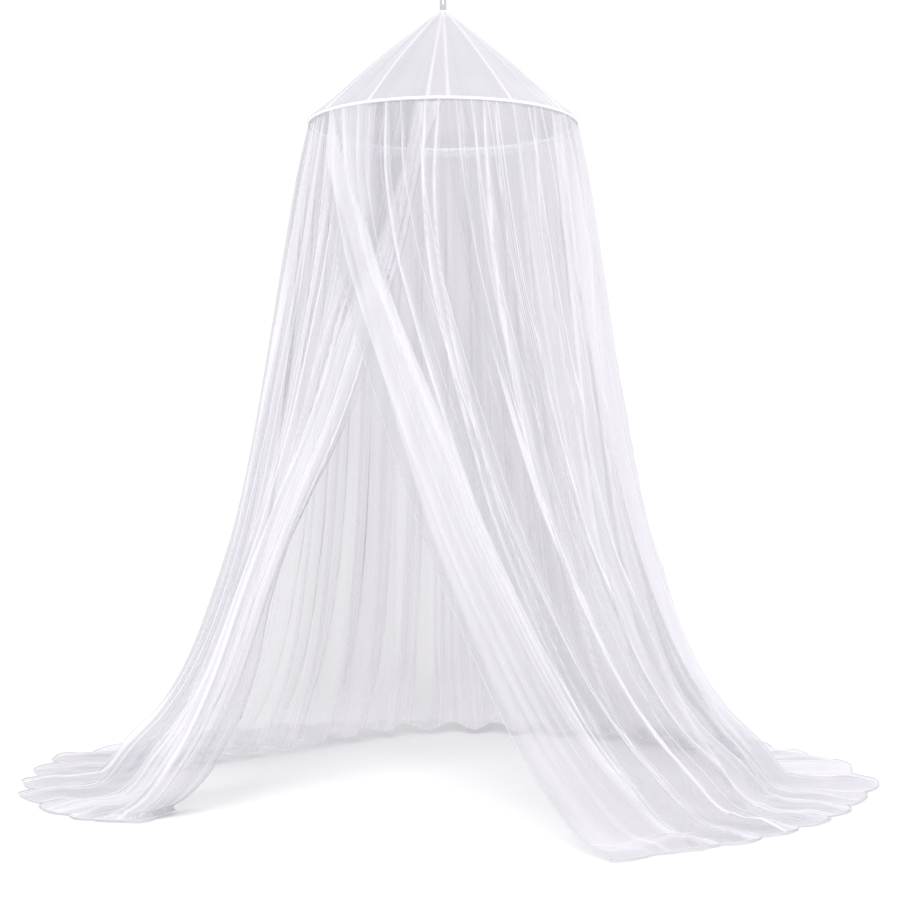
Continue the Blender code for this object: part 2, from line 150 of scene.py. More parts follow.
# Sections of the curtain from the hoop to the hem.
# height: share of the hanging height; lying: share of the length on the floor
# depth: half of a usual fold's depth; lift: how high a crest stands off the floor there
# gather, pleat, sway: how deep the fine gathers, the small pleats and the broad waves are there
ROW_COLUMNS = ("height", "lying", "depth", "lift", "gather", "pleat", "sway")
ROWS = (
    (1.00, 0.0, 0.0030, 0.000, 0.0024, 0.0010, 0.000),
    (0.90, 0.0, 0.0070, 0.000, 0.0030, 0.0040, 0.001),
    (0.78, 0.0, 0.0100, 0.000, 0.0020, 0.0060, 0.003),
    (0.65, 0.0, 0.0125, 0.000, 0.0010, 0.0075, 0.004),
    (0.52, 0.0, 0.0150, 0.000, 0.0005, 0.0085, 0.005),
    (0.40, 0.0, 0.0180, 0.000, 0.0000, 0.0095, 0.006),
    (0.29, 0.0, 0.0215, 0.000, 0.0000, 0.0105, 0.007),
    (0.19, 0.0, 0.0250, 0.000, 0.0000, 0.0115, 0.008),
    (0.11, 0.0, 0.0280, 0.004, 0.0000, 0.0120, 0.008),
    (0.05, 0.0, 0.0300, 0.010, 0.0000, 0.0115, 0.007),
    (0.00, 0.0, 0.0310, 0.018, 0.0000, 0.0100, 0.006),
    (0.00, 0.5, 0.0320, 0.022, 0.0000, 0.0090, 0.005),
    (0.00, 1.0, 0.0340, 0.006, 0.0000, 0.0080, 0.004),
)
# Pinched folds, each a narrow line where the cloth is doubled.
# top, middle, foot: place across the cloth, in folds, at the hoop, half way down and at the floor
# width: half width in folds, before CREASE_NARROWING; push: how far it stands out
# layers: how many layers it adds, before CREASE_DENSITY
# first, last: the rows between which it shows
CREASE_COLUMNS = ("top", "middle", "foot", "width", "push", "layers", "first", "last")
CREASES = (
    (0.12, 0.40, 0.40, 0.05, 0.006, 1.5, 0.5, 8.0),
    (0.40, 1.15, 1.00, 0.07, 0.010, 2.5, 0.0, 12.0),
    (0.90, 0.85, 0.70, 0.04, 0.006, 1.2, 0.0, 9.0),
    (1.75, 1.32, 0.90, 0.07, 0.012, 3.0, 0.0, 10.5),
    (2.25, 1.60, 1.30, 0.04, 0.005, 1.0, 0.3, 8.0),
    (2.75, 1.78, 1.15, 0.07, 0.012, 3.0, 0.0, 9.0),
    (3.08, 1.95, 1.40, 0.06, 0.012, 3.0, 0.0, 10.5),
    (3.60, 2.60, 1.90, 0.04, -0.008, 0.8, 0.0, 11.0),
    (4.25, 3.15, 1.95, 0.07, 0.013, 3.0, 0.0, 11.0),
    (4.60, 3.60, 2.60, 0.05, 0.008, 1.5, 0.0, 11.0),
    (5.20, 4.20, 3.30, 0.04, 0.007, 1.0, 0.0, 10.0),
    (5.80, 4.75, 3.80, 0.06, 0.010, 2.0, 0.0, 12.0),
    (6.45, 5.30, 4.40, 0.08, 0.012, 2.5, 0.0, 12.0),
    (6.75, 5.70, 4.90, 0.05, 0.008, 1.5, 0.0, 12.0),
    (7.30, 6.30, 5.60, 0.07, 0.010, 2.0, 0.0, 12.0),
    (7.90, 7.10, 6.50, 0.05, 0.008, 1.5, 0.0, 12.0),
    (8.50, 7.90, 7.50, 0.06, 0.010, 1.5, 0.0, 12.0),
    (9.20, 8.90, 8.60, 0.06, 0.010, 1.5, 0.0, 12.0),
    (9.90, 9.70, 9.60, 0.06, -0.012, 2.0, 0.0, 12.0),
    (10.75, 10.55, 10.2, 0.07, -0.014, 2.5, 0.0, 12.0),
    (11.50, 11.40, 11.3, 0.05, -0.010, 1.5, 0.0, 12.0),
    (12.40, 12.30, 12.1, 0.07, -0.014, 2.5, 0.0, 12.0),
    (13.30, 13.10, 12.9, 0.05, -0.010, 1.5, 0.0, 12.0),
    (14.10, 13.90, 13.7, 0.06, -0.012, 2.0, 0.0, 12.0),
    (15.05, 15.10, 15.2, 0.07, -0.015, 3.0, 0.0, 12.0),
    (16.10, 16.00, 15.9, 0.06, -0.012, 2.0, 0.0, 12.0),
    (17.00, 16.90, 16.9, 0.06, -0.012, 2.0, 0.0, 12.0),
    (17.80, 17.90, 18.0, 0.05, -0.010, 1.5, 0.0, 12.0),
    (18.90, 18.90, 19.0, 0.06, -0.012, 2.0, 0.0, 12.0),
    (19.80, 19.85, 20.0, 0.06, -0.012, 2.0, 0.0, 12.0),
    (20.70, 20.80, 20.9, 0.06, -0.012, 2.5, 0.0, 12.0),
    (21.60, 21.70, 21.8, 0.06, -0.012, 2.0, 0.0, 12.0),
    (22.60, 22.50, 22.4, 0.06, 0.010, 1.5, 0.0, 12.0),
    (23.60, 23.40, 23.3, 0.06, 0.010, 1.5, 0.0, 12.0),
    (24.50, 24.30, 24.2, 0.06, 0.010, 1.5, 0.0, 12.0),
    (25.40, 25.20, 25.1, 0.06, 0.010, 2.0, 0.0, 12.0),
    (26.00, 26.00, 26.0, 0.05, 0.008, 1.5, 0.0, 12.0),
    (26.60, 27.00, 26.7, 0.06, 0.010, 2.5, 0.0, 12.0),
    (27.40, 27.50, 27.3, 0.05, 0.008, 1.5, 0.0, 12.0),
    (28.40, 27.70, 27.9, 0.06, 0.008, 2.0, 0.0, 11.0),
    (29.20, 28.30, 28.5, 0.06, 0.008, 2.0, 0.0, 11.0),
    (29.80, 28.90, 29.1, 0.05, 0.006, 1.5, 0.0, 10.0),
    (30.40, 29.60, 29.6, 0.06, 0.006, 2.0, 0.0, 10.0),
    (30.75, 30.40, 30.3, 0.04, 0.004, 1.5, 0.0, 10.0),
)
CREASE_NARROWING = 0.55
CREASE_DENSITY = 1.6
SMALL_CREASES = 70      # more and finer ones, placed by chance
COLUMNS_PER_FOLD = 32
STEPS_PER_ROW = 8
TURN_ROUND = 0.036      # height over which the cloth turns from hanging to lying
TURN_SLOPE = 1.2        # slope at which the fall would go on under the floor
TUCK = 0.0025           # how far the gathers reach up between the casing's two leaves
SURFACE_LIFT = 0.0012   # lowest cloth above the floor
print(len(FOLDS) - 1, "folds,", len(ROWS) - 1, "sections")

# %% [markdown]
# ## Small tools
#
# `smooth_curve` reads a table column as a curve without overshoot. `uneven` is a smooth random
# field: random heights at the corners of a lattice, eased in between. It makes pleats that are
# never twice the same, but the fixed seed makes every run give the same cloth.

# %% Tools for curves, random fields and meshes
def column_of(table, columns, name):
    """Return one named column of a table as an array."""
    place = columns.index(name)
    return np.array([row[place] for row in table])


def smooth_curve(at, knots, values):
    """Read a curve through the values at rising knots, as cubic pieces that never overshoot."""
    step = np.diff(knots)
    slope = np.diff(values) / step
    total = slope[:-1] + slope[1:]
    inner = np.where(slope[:-1] * slope[1:] > 0.0,
                     2.0 * slope[:-1] * slope[1:] / np.where(total == 0.0, 1.0, total), 0.0)
    tangent = np.concatenate((slope[:1], inner, slope[-1:]))
    cell = np.clip(np.searchsorted(knots, at, side="right") - 1, 0, len(step) - 1)
    t = (at - knots[cell]) / step[cell]
    return ((2 * t**3 - 3 * t**2 + 1) * values[cell] + (t**3 - 2 * t**2 + t) * step[cell] * tangent[cell]
            + (3 * t**2 - 2 * t**3) * values[cell + 1] + (t**3 - t**2) * step[cell] * tangent[cell + 1])


def ease(value, low, high):
    """Return 0 below low, 1 above high and a smooth step between."""
    t = np.clip((value - low) / (high - low), 0.0, 1.0)
    return t * t * (3.0 - 2.0 * t)


def between(value, rise, fall):
    """Return 1 between two smooth steps: up from rise[0] to rise[1], down from fall[0] to fall[1]."""
    return ease(value, *rise) * (1.0 - ease(value, *fall))


def uneven(across, down, seed):
    """Return a smooth random field from -1 to 1: lattice values, eased across and down."""
    wide, tall = int(np.ceil(across.max())) + 3, int(np.ceil(down.max())) + 3
    lattice = np.random.default_rng(seed).uniform(-1.0, 1.0, (tall, wide))
    column, row = np.floor(across).astype(int) + 1, np.floor(down).astype(int) + 1
    s, t = across - np.floor(across), down - np.floor(down)
    s, t = s * s * (3.0 - 2.0 * s), t * t * (3.0 - 2.0 * t)
    upper = lattice[row, column] * (1.0 - s) + lattice[row, column + 1] * s
    lower = lattice[row + 1, column] * (1.0 - s) + lattice[row + 1, column + 1] * s
    return upper * (1.0 - t) + lower * t


def round_axis(turn, radius):
    """Return x and y at an angle from the front, to the right, and at a distance from the axis."""
    return radius * np.sin(turn), -radius * np.cos(turn)


def length_along(points, axis=0):
    """Return how far along each point lies: the steps between neighbours, added up."""
    steps = np.linalg.norm(np.diff(points, axis=axis), axis=-1)
    return np.concatenate((np.zeros_like(steps.take([0], axis)), np.cumsum(steps, axis=axis)), axis=axis)


def flat_places(across, down):
    """Return each point's place on the flat cloth, from its length across and its length down."""
    return np.stack(np.broadcast_arrays(across, down), axis=-1)


def grid_faces(rows, columns, closed):
    """Return the quads of a grid of points as an array; closed joins the last column to the first."""
    row = np.arange(rows - 1)[:, None]
    column = np.arange(columns if closed else columns - 1)[None, :]
    after = (column + 1) % columns
    corners = (row * columns + column, (row + 1) * columns + column,
               (row + 1) * columns + after, row * columns + after)
    return np.stack(np.broadcast_arrays(*corners), axis=-1).reshape(-1, 4)


def ring_faces(count, sides):
    """Return the quads of a closed section of `sides` points, repeated `count` times round a ring."""
    last, first = (count - 1) * sides + np.arange(sides), np.arange(sides)
    joint = np.stack((last, first, np.roll(first, -1), np.roll(last, -1)), axis=-1)
    return np.vstack((grid_faces(count, sides, True), joint))


def make_mesh(name, points, faces, material, uv=None):
    """Link an object made of points and quads; uv gives each point its place on the flat cloth."""
    points = np.asarray(points, dtype=np.float32).reshape(-1, 3)
    faces = np.asarray(faces, dtype=np.int32)
    mesh = bpy.data.meshes.new(name)
    mesh.vertices.add(len(points))
    mesh.vertices.foreach_set("co", points.ravel())
    mesh.loops.add(faces.size)
    mesh.loops.foreach_set("vertex_index", faces.ravel())
    mesh.polygons.add(len(faces))
    mesh.polygons.foreach_set("loop_start", np.arange(len(faces), dtype=np.int32) * faces.shape[1])
    mesh.polygons.foreach_set("use_smooth", np.ones(len(faces), dtype=bool))
    if uv is not None:
        layer = mesh.uv_layers.new(name="cloth")
        layer.uv.foreach_set("vector", np.asarray(uv, dtype=np.float32).reshape(-1, 2)[faces.ravel()].ravel())
    mesh.update(calc_edges=True)
    mesh.validate()
    mesh.materials.append(material)
    thing = bpy.data.objects.new(name, mesh)
    scene.collection.objects.link(thing)
    return thing


def paint(thing, name, values):
    """Store one number for each point of a mesh, which its material reads by that name."""
    layer = thing.data.attributes.new(name, "FLOAT", "POINT")
    layer.data.foreach_set("value", np.asarray(values, dtype=np.float32).ravel())


def mesh_area(thing):
    """Return the area of a mesh in square metres."""
    mesh = thing.data
    areas = np.empty(len(mesh.polygons))
    mesh.polygons.foreach_get("area", areas)
    return float(areas.sum())


def make_tube(name, path, radius, sides, material):
    """Sweep a small circle along a path of points; the circle stays square to the path."""
    ahead = np.gradient(path, axis=0)
    ahead = ahead / np.linalg.norm(ahead, axis=1)[:, None]
    up = np.where(np.abs(ahead[:, 2:3]) > 0.9, (0.0, 1.0, 0.0), (0.0, 0.0, 1.0))
    side = np.cross(ahead, up)
    side = side / np.linalg.norm(side, axis=1)[:, None]
    over = np.cross(side, ahead)
    turn = np.linspace(0.0, 2.0 * math.pi, sides, endpoint=False)
    ring = (side[:, None, :] * np.cos(turn)[None, :, None] + over[:, None, :] * np.sin(turn)[None, :, None])
    points = path[:, None, :] + ring * radius
    faces = grid_faces(len(path), sides, True)[:, ::-1]
    uv = flat_places(length_along(path)[:, None], (turn * radius)[None, :])
    return make_mesh(name, points, faces, material, uv)


print("tools are ready")

# %% [markdown]
# ## The net material
#
# A net is mostly holes, so light passes between its threads. Close up it is a mesh of fine
# threads; from across a room it is a veil. The veil is denser where the cloth is seen at a slant,
# because more threads cross the same line of sight: if one layer stops a share `c` of the light
# square on, then `n` layers at a slant stop `1 - (1 - c) ** (n / cosine ** 0.7)`. That one rule
# gives each fold its denser edges. The threads scatter light back and onwards, so their shader is a
# mix of diffuse and translucent. Gathered net is also whiter than a single layer, whose holes grey
# it, so the colour goes from the thin one to the dense one as the layers add up.

# %% The net, the casing, the rod and the tape
def new_material(name):
    """Return an empty node material and its tree."""
    material = bpy.data.materials.new(name)
    material.use_nodes = True
    material.node_tree.nodes.clear()
    return material, material.node_tree


def node(tree, kind, inputs=(), **settings):
    """Add a node, set its properties, and give each named input a value or a link from a socket."""
    made = tree.nodes.new(kind)
    for key, value in settings.items():
        setattr(made, key, value)
    for place, value in dict(inputs).items():
        if isinstance(value, bpy.types.NodeSocket):
            tree.links.new(value, made.inputs[place])
        else:
            made.inputs[place].default_value = value
    return made


def finish_material(tree, surface):
    """Join a shader to the material's output."""
    node(tree, "ShaderNodeOutputMaterial", {"Surface": surface.outputs[0]})


def math_node(tree, operation, *operands):
    """Return the result of a math node on one or two operands, each a socket or a number."""
    return node(tree, "ShaderNodeMath", enumerate(operands), operation=operation).outputs[0]


def cloth_coordinates(tree, stretch):
    """Return the flat cloth's own coordinates in metres, stretched by a factor on each axis."""
    place = node(tree, "ShaderNodeUVMap", uv_map="cloth").outputs["UV"]
    return node(tree, "ShaderNodeVectorMath", {0: place, 1: stretch}, operation="MULTIPLY").outputs[0]


def object_place(tree):
    """Return the piece's own coordinates in metres."""
    return node(tree, "ShaderNodeTexCoord").outputs["Object"]


WHITENING = 0.55        # share of its greyness that a net keeps with each further layer
SLANT_POWER = 0.7       # how strongly a slant adds layers; 1 would be the geometry of a flat sheet
SLANT_LIMIT = 0.20      # smallest cosine that counts
EDGE_FADE = (0.03, 0.10)    # metres from the front free edge over which the pleats come in
# Soft pleats that lie over in the cloth, as bands with a creased edge on both sides.
# across, down: cells of the pattern to the metre; share: level of the pattern where a band begins
# width: of its creased edge, in parts of the pattern; band, edge: layers that each adds
PLEAT_COLUMNS = ("across", "down", "share", "width", "band", "edge")
PLEATS = (
    (4.0, 0.06, 0.57, 0.012, 0.8, 3.0),
    (9.0, 0.10, 0.60, 0.024, 0.4, 1.6),
    (19.0, 0.15, 0.62, 0.045, 0.2, 0.6),
)


def ramp(tree, value, low, high, first, second, kind="SMOOTHSTEP"):
    """Return a change from `first` at `low` to `second` at `high`, smooth unless kind is LINEAR."""
    return node(tree, "ShaderNodeMapRange", {"Value": value, "From Min": low, "From Max": high,
                                             "To Min": first, "To Max": second},
                interpolation_type=kind).outputs["Result"]


def mixed_colour(tree, share, first, second):
    """Return a colour between the first and the second, by a share from 0 to 1."""
    return node(tree, "ShaderNodeMix", {"Factor": share, "A": first, "B": second},
                data_type="RGBA").outputs["Result"]


def pleat_layers(tree, across, down, share, width, band, edge):
    """Return how many layers one kind of pleat adds.

    A smooth pattern is drawn out down the cloth. Where it is over `share` the cloth lies in a band,
    and where it passes through `share` it is creased.
    """
    pattern = node(tree, "ShaderNodeTexNoise",
                   {"Scale": 1.0, "Detail": 0.0, "Vector": cloth_coordinates(tree, (across, down, 0.0))},
                   noise_dimensions="2D").outputs["Fac"]
    over = ramp(tree, pattern, share - width / 2.0, share + width / 2.0, 0.0, band)
    away = math_node(tree, "ABSOLUTE", math_node(tree, "SUBTRACT", pattern, share))
    return math_node(tree, "ADD", over, ramp(tree, away, 0.0, width, edge, 0.0))


def thread_cover(tree, cover, streak):
    """Return the share of the light that one layer stops: streaks down the cloth times the weave."""
    streaks = node(tree, "ShaderNodeTexNoise",
                   {"Scale": 1.0, "Detail": 3.0, "Roughness": 0.65,
                    "Vector": cloth_coordinates(tree, (55.0, 0.18, 0.0))}, noise_dimensions="2D")
    weave = node(tree, "ShaderNodeTexVoronoi",
                 {"Scale": 1.0, "Randomness": 0.25,
                  "Vector": cloth_coordinates(tree, (620.0, 540.0, 0.0))},
                 voronoi_dimensions="2D", feature="DISTANCE_TO_EDGE")
    thread = ramp(tree, weave.outputs["Distance"], 0.05, 0.30, 1.25, 0.85, "LINEAR")
    spread = math_node(tree, "SUBTRACT", streaks.outputs["Fac"], 0.5)
    share = math_node(tree, "ADD", math_node(tree, "MULTIPLY", spread, streak), cover)
    return math_node(tree, "MULTIPLY", share, thread)


def layers_crossed(tree, pleats):
    """Return how many layers the light crosses: (painted layers + pleats) / cosine ** SLANT_POWER."""
    facing = node(tree, "ShaderNodeLayerWeight", {"Blend": 0.5}).outputs["Facing"]
    cosine = math_node(tree, "MAXIMUM", math_node(tree, "SUBTRACT", 1.0, facing), SLANT_LIMIT)
    layers = node(tree, "ShaderNodeAttribute", attribute_name="layers").outputs["Fac"]
    from_edge = node(tree, "ShaderNodeSeparateXYZ", {0: cloth_coordinates(tree, (1.0, 1.0, 0.0))})
    inside = ramp(tree, from_edge.outputs["X"], *EDGE_FADE, 0.0, 1.0)
    for row in pleats:
        added = pleat_layers(tree, **dict(zip(PLEAT_COLUMNS, row)))
        layers = math_node(tree, "ADD", layers, math_node(tree, "MULTIPLY", added, inside))
    return math_node(tree, "DIVIDE", layers, math_node(tree, "POWER", cosine, SLANT_POWER))


def net_material(name, cover, streak, through, pleats):
    """Return the sheer net.

    cover: share of the light that one layer stops square on; streak: how uneven that is
    through: share of the light on the threads that leaves on the far side
    pleats: rows of PLEATS
    """
    material, tree = new_material(name)
    passed = math_node(tree, "SUBTRACT", 1.0, thread_cover(tree, cover, streak))
    crossed = layers_crossed(tree, pleats)
    stopped = math_node(tree, "SUBTRACT", 1.0, math_node(tree, "POWER", passed, crossed))
    # Painted light and shade: a number stored on each point speeds or slows how fast the net whitens.
    painted_light = node(tree, "ShaderNodeAttribute", attribute_name="painted_light").outputs["Fac"]
    extra = math_node(tree, "MULTIPLY", math_node(tree, "SUBTRACT", crossed, 1.0), painted_light)
    whiteness = math_node(tree, "SUBTRACT", 1.0, math_node(tree, "POWER", WHITENING, extra))
    tone = mixed_colour(tree, whiteness, THIN_NET, DENSE_NET)
    back = node(tree, "ShaderNodeBsdfDiffuse", {"Color": tone}).outputs[0]
    onwards = node(tree, "ShaderNodeBsdfTranslucent", {"Color": tone}).outputs[0]
    threads = node(tree, "ShaderNodeMixShader", {"Fac": through, 1: back, 2: onwards}).outputs[0]
    holes = node(tree, "ShaderNodeBsdfTransparent").outputs[0]
    finish_material(tree, node(tree, "ShaderNodeMixShader", {"Fac": stopped, 1: holes, 2: threads}))
    return material


def woven_material(name, colour, ribs, roughness, painted_glow):
    """Return a dense woven tape or binding with fine ribs.

    ribs: how far the pattern is squeezed across and along, so how close the ribs lie
    the last argument is painted light: an even emission that stands in for light coming through from behind
    """
    material, tree = new_material(name)
    wave = node(tree, "ShaderNodeTexWave",
                {"Scale": 1.0, "Distortion": 1.2, "Vector": cloth_coordinates(tree, ribs)},
                wave_type="BANDS", bands_direction="X")
    bump = node(tree, "ShaderNodeBump", {"Strength": 0.5, "Distance": 0.0004,
                                         "Height": wave.outputs["Fac"]})
    finish_material(tree, node(tree, "ShaderNodeBsdfPrincipled", {
        "Base Color": colour, "Roughness": roughness, "Emission Color": colour,
        "Emission Strength": painted_glow, "Normal": bump.outputs["Normal"]}))
    return material


def paint_leaf_shade(material):
    """Paint shade on the casing's two thin leaves below its tube, where they face away from the light.

    The key light comes from the front, so at the back it falls on the leaves' inner side, and there the
    painted shade ends.
    """
    tree = material.node_tree
    place = node(tree, "ShaderNodeSeparateXYZ", {0: object_place(tree)})
    foot = HOOP_HEIGHT - DROP - SLEEVE_BORE
    tube = ramp(tree, place.outputs["Z"], foot - LEAF_FADE, foot + LEAF_FADE, 0.0, 1.0)
    share = math_node(tree, "MAXIMUM", tube, ramp(tree, place.outputs["Y"], *BACK_HALF, 0.0, 1.0))
    shader = tree.nodes["Principled BSDF"]
    tree.links.new(mixed_colour(tree, share, LEAF_PAINTED_SHADE, CASING_CLOTH), shader.inputs["Base Color"])


THIN_NET = (0.358, 0.343, 0.390, 1.0)
DENSE_NET = (0.85, 0.84, 0.870, 1.0)
CASING_CLOTH = (0.80, 0.795, 0.83, 1.0)
# Painted shade: the dark colour of the casing's leaves below the rod, at the front.
LEAF_PAINTED_SHADE = (0.38, 0.37, 0.41, 1.0)
LEAF_FADE = 0.0012          # half the height over which the tube's colour changes to the leaves' painted shade
BACK_HALF = (-0.05, 0.15)   # y over which the painted shade on the leaves ends, and they take the tube's colour again
NET = net_material("net", cover=0.24, streak=0.03, through=0.42, pleats=PLEATS)
ROOF_NET = net_material("roof_net", cover=0.27, streak=0.08, through=0.18, pleats=())
# The hem and the casing glow a little: painted light, an even emission that stands in for light through thin
# cloth.
HEM_CLOTH = woven_material("hem", (0.58, 0.57, 0.60, 1.0), (500.0, 60.0, 0.0), 0.9, 0.06)
CASING = woven_material("casing", CASING_CLOTH, (400.0, 60.0, 0.0), 0.85, 0.34)
paint_leaf_shade(CASING)
ROD = woven_material("rod", (0.85, 0.85, 0.85, 1.0), (30.0, 30.0, 0.0), 0.4, 0.0)
TAPE = woven_material("tape", (0.42, 0.42, 0.43, 1.0), (60.0, 900.0, 0.0), 0.9, 0.0)
print("materials:", [m.name for m in (NET, ROOF_NET, HEM_CLOTH, CASING, ROD, TAPE)])

# %% [markdown]
# ## The curtain
#
# A sheet of cloth can be described by two numbers: `u`, the place across it counted in folds, and
# `r`, the place down it counted in table rows. `crest_points` gives the smooth bell that the crests
# lie on. The folds are then pushed in from that bell, square to it, deeper towards the floor.
# Simulated cloth would need a long run to fall this way. Placing the folds by their start, path
# and end is quick, exact and repeatable.

# %% The bell that the crests lie on
# Limits over which something fades: folds from the front edge, or from the last fold if negative
WING_END, FLAP_START = (3.0, 6.0), (-6.5, -4.5)
GUARD_END, GUARD_START = (3.5, 6.5), (-5.5, -3.5)   # the guard pushes the front out to the bell
HEM_TURN, CORNER_TURN = (-4.0, -2.0), (-1.0, 0.0)   # where the hem turns back
EDGES_PART = 0.15           # share of the way down over which the overlapping edges part
FLAP_HIDDEN = (0.42, 0.58)  # share of the height over which the flap goes behind the wing
GUARD_FOOT = 0.12           # lowest share of the height, where the guard fades out


def fold_value(name, u):
    """Return a column of FOLDS at the fold places u, where a whole number is a crest."""
    return smooth_curve(u, np.arange(len(FOLDS), dtype=float), column_of(FOLDS, FOLD_COLUMNS, name))


def row_value(name, r):
    """Return a column of ROWS at the row places r."""
    return smooth_curve(r, np.arange(len(ROWS), dtype=float), column_of(ROWS, ROW_COLUMNS, name))


def path_share(name, height):
    """Return how far out a kind of fold has travelled at a share of the height."""
    heights = column_of(PATHS, PATH_COLUMNS, "height")[::-1]
    return smooth_curve(height, heights, column_of(PATHS, PATH_COLUMNS, name)[::-1])


def crest_points(u, height, lying):
    """Return x and y of the crest line of each fold place u at each row, as rows by columns.

    A crest leaves the hoop, travels to the point where it meets the floor by its own mix of the
    three paths, and then lies out to the hem: straight on, but squarer to the hem at the last
    folds, where the hem turns back. In front the cloth can't cut across the bell that the hoop and
    the floor give it, so there y is pushed out to that bell, and the free edge that lies behind is
    kept inside it for as far as the two edges overlap.
    """
    from_last = u - (len(FOLDS) - 1.0)
    front = 1.0 - ease(u, *WING_END)
    behind = ease(from_last, *FLAP_START)
    start_radius = HOOP_RADIUS + SLEEVE_BORE + WING * (front - behind)
    start = np.array(round_axis(np.radians(fold_value("hoop", u)), start_radius))
    hem = np.array(round_axis(np.radians(fold_value("hem", u)), fold_value("reach", u)))
    along = (hem - start) / np.linalg.norm(hem - start, axis=0)
    edge = np.gradient(hem, u, axis=1)
    square = np.array([edge[1], -edge[0]]) / np.linalg.norm(edge, axis=0)
    turned = along + square * (ease(from_last, *HEM_TURN) + ease(from_last, *CORNER_TURN))
    lying_way = turned / np.linalg.norm(turned, axis=0) * fold_value("lay", u)
    foot = hem - lying_way
    pull, slack = fold_value("pull", u), fold_value("slack", u)
    hung = path_share("hung", height)
    share = (hung * (1.0 - pull - slack) + path_share("pulled", height) * pull
             + path_share("slack", height) * slack)
    x = start[0] + (foot[0] - start[0]) * share
    y = start[1] + (foot[1] - start[1]) * share

    foot_radius = np.hypot(foot[0], foot[1])
    part = ease(1.0 - height, 0.0, EDGES_PART)
    bell = start_radius + (foot_radius - start_radius) * hung + WING_OUT * front * part
    reach = np.hypot(x, y)
    soft = GUARD_SOFTNESS * height * (1.0 - height)
    outside = 0.5 * (reach + bell + np.sqrt((reach - bell) ** 2 + soft**2))
    inside = start_radius + (foot_radius - start_radius) * hung - WING_IN * part
    hidden = behind * ease(height, *FLAP_HIDDEN)
    radius = outside * (1.0 - hidden) + inside * hidden
    pushed = -np.sqrt(np.maximum(radius**2 - x**2, 1e-6))
    guard = 1.0 - ease(u, *GUARD_END) + ease(from_last, *GUARD_START)
    guard = guard * ease(height, 0.0, GUARD_FOOT)
    y = y + (pushed - y) * guard
    return x + lying_way[0] * lying, y + lying_way[1] * lying


# %% [markdown]
# ### Folds on the bell
#
# Three sizes of fold lie on top of each other. The main folds are those of the CAD model. Between
# them are small uneven pleats, with sharp crests where the cloth is pinched. Just below the hoop
# there are many fine gathers, which die out as the cloth widens. Pleats and gathers are `uneven`
# fields, each with its own count to the fold, count to the row, and seed. A fold may only be so deep
# for its width, so a depth is brought under a limit by `depth * most / hypot(depth, most)`.

# %% Folds, pleats and gathers
SETTLING = (9.0, 11.0)      # rows over which a hanging fold becomes a lobe on the floor
# Random fields: how many to the fold, how many to the row, and the seed
FIELDS = {
    "sharpness": (0.9, 0.35, 11),
    "wander": (0.8, 0.3, 21),
    "pleats": (3.1, 0.14, 31),
    "gathers": (13.0, 0.25, 41),
    "sway": (1.3, 0.5, 51),
    "ripple": (3.1, 1.4, 61),
    "small ripple": (7.0, 2.2, 62),
}


def field(name, across, down):
    """Return one of the random fields at places across and down the cloth."""
    to_fold, to_row, seed = FIELDS[name]
    return uneven(across * to_fold, down * to_row, seed)


def fold_push(u, r, size):
    """Return how far the cloth lies inside the bell: main fold + pleats + gathers + sway.

    A hanging fold is a power of |sin| between two crests, and a lobe on the floor is one less a
    power of |cos|. size is the width of a column of the grid.
    """
    across, down = np.broadcast_arrays(u[None, :], r)
    most = size * COLUMNS_PER_FOLD * FOLD_ROUND
    depth = row_value("depth", r) * fold_value("deep", u)[None, :]
    depth = depth * most / np.hypot(depth, most)
    sharp = 1.6 + 0.5 * field("sharpness", across, down)
    hanging = np.abs(np.sin(math.pi * across)) ** sharp
    lobed = 1.0 - np.abs(np.cos(math.pi * across)) ** 0.8
    settled = ease(down, *SETTLING)
    main = 2.0 * depth * (hanging * (1.0 - settled) + 0.55 * lobed * settled)

    room = most / np.hypot(row_value("depth", r) * 1.2, most)
    wander = 0.35 * field("wander", across, down)
    ridges = np.abs(field("pleats", across + wander, down)) ** 0.8
    pleats = row_value("pleat", r) * room * (ridges - 0.4) * 1.2
    gathers = row_value("gather", r) * field("gathers", across + 0.3 * wander, down)
    sway = row_value("sway", r) * room * field("sway", across, down)
    return main + pleats + gathers + sway


print("half the depth of a fold is at most", FOLD_ROUND, "of its width")

# %% [markdown]
# ### Pinched folds
#
# Where a net is bunched by hand, a narrow line of it stands out and looks bright, because the
# cloth is doubled there. Such lines run down the cloth and drift a little. The strong ones are
# listed in CREASES, and finer ones are added by chance, from a fixed seed.

# %% Pinched folds
def small_creases():
    """Return the finer pinched folds as rows like those of CREASES, spread by chance."""
    chance = np.random.default_rng(81)
    top = chance.uniform(0.2, len(FOLDS) - 1.2, SMALL_CREASES)
    drift = np.where(top < 8.0, -0.20 * top, chance.uniform(-0.3, 0.3, SMALL_CREASES))
    first = chance.uniform(0.0, 5.0, SMALL_CREASES) * (chance.uniform(0.0, 1.0, SMALL_CREASES) > 0.4)
    return np.stack((top, top + drift * 0.6, top + drift, chance.uniform(0.025, 0.05, SMALL_CREASES),
                     chance.uniform(-0.006, 0.006, SMALL_CREASES),
                     chance.uniform(0.3, 1.2, SMALL_CREASES), first,
                     first + chance.uniform(4.0, 12.0, SMALL_CREASES)), axis=1)


